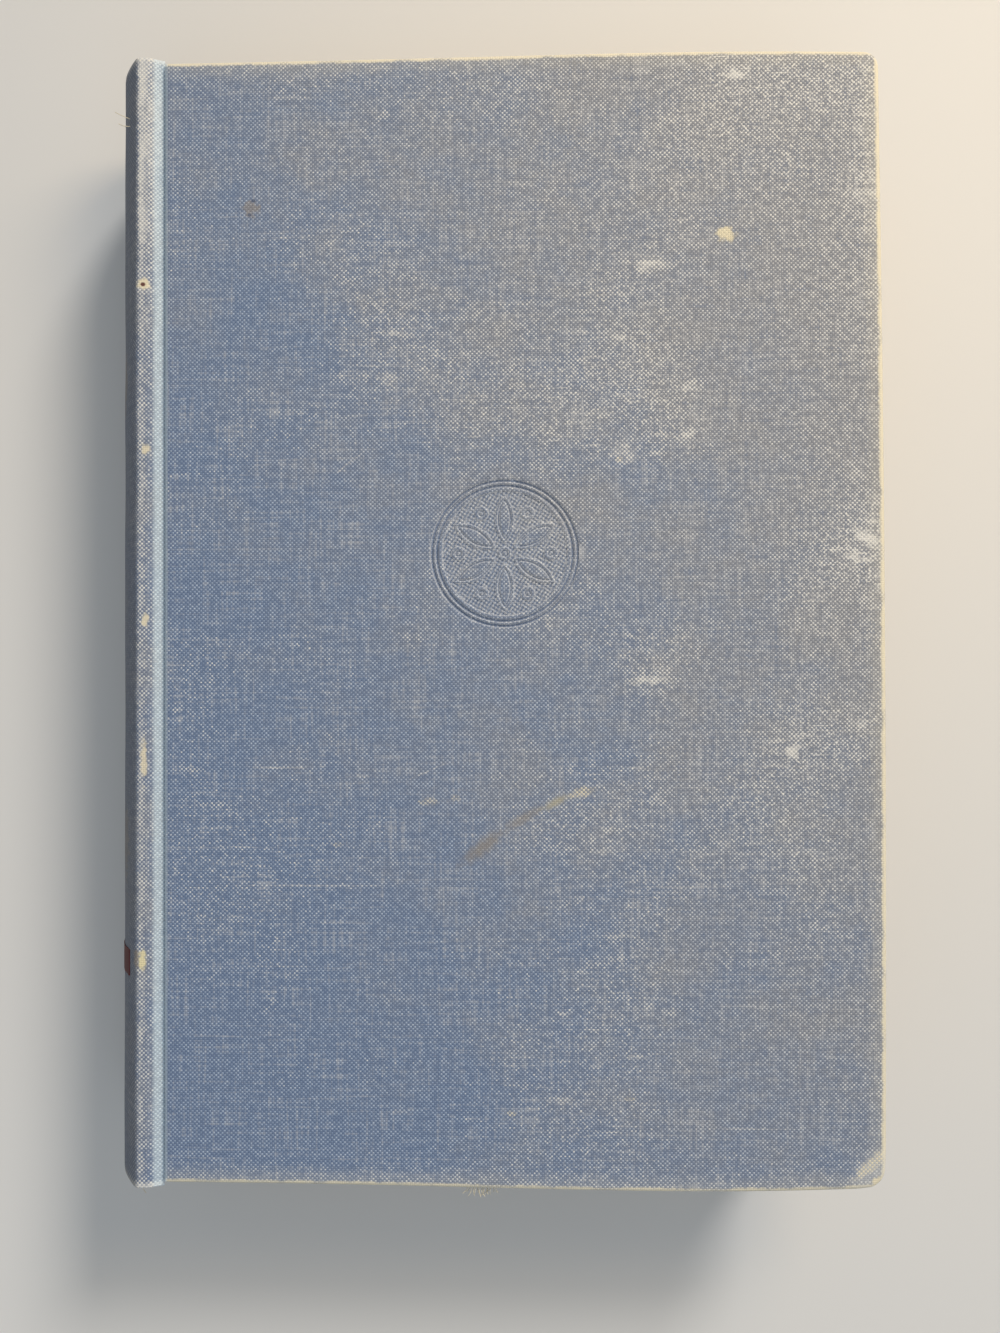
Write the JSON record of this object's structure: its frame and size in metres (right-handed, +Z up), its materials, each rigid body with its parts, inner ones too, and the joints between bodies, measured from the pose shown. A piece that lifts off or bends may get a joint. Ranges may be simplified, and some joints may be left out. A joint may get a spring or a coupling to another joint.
{
  "type": "hardback book",
  "caption": "Closed clothbound hardback book with a rounded spine, grooved joints, a stamped round ornament and covers that open.",
  "frame": {"origin": "centre of the book's footprint, on the surface that its back cover lies on", "axes": "+X from the spine to the fore edge, +Y from the tail to the head, +Z up through the front cover"},
  "size_m": [0.1476, 0.215, 0.033],
  "materials": {
    "book_cloth": "matt plain-weave book cloth, worn and faded",
    "board": "grey-brown millboard",
    "endpaper": "cream wove paper, toned with age",
    "pages": "cut edges of cream book paper",
    "mull": "open cotton gauze stiffened with glue",
    "kraft": "brown kraft paper",
    "inlay_card": "thin grey card",
    "band": "woven cotton band",
    "label": "dark red, matt"
  },
  "bodies": {
    "book_block": {"text_block": "pages", "front_flyleaf": "endpaper", "back_flyleaf": "endpaper", "spine_gauze": "mull", "spine_lining": "kraft", "spine_inlay": "inlay_card", "spine_cloth": "book_cloth", "spine_label": "label", "head_band": "band", "tail_band": "band"},
    "front_cover": {"front_board": "board", "front_cloth": "book_cloth", "front_pastedown": "endpaper"},
    "back_cover": {"back_board": "board", "back_cloth": "book_cloth", "back_pastedown": "endpaper"}
  },
  "joints": [
    {"name": "front_cover_hinge", "type": "hinge", "parent": "book_block", "child": "front_cover", "pos_m": [-0.06269, 0, 0.0333], "axis": [0, -1, 0], "range_deg": [0, 180]},
    {"name": "back_cover_hinge", "type": "hinge", "parent": "book_block", "child": "back_cover", "pos_m": [-0.06269, 0, -0.0003], "axis": [0, 1, 0], "range_deg": [0, 180]}
  ]
}
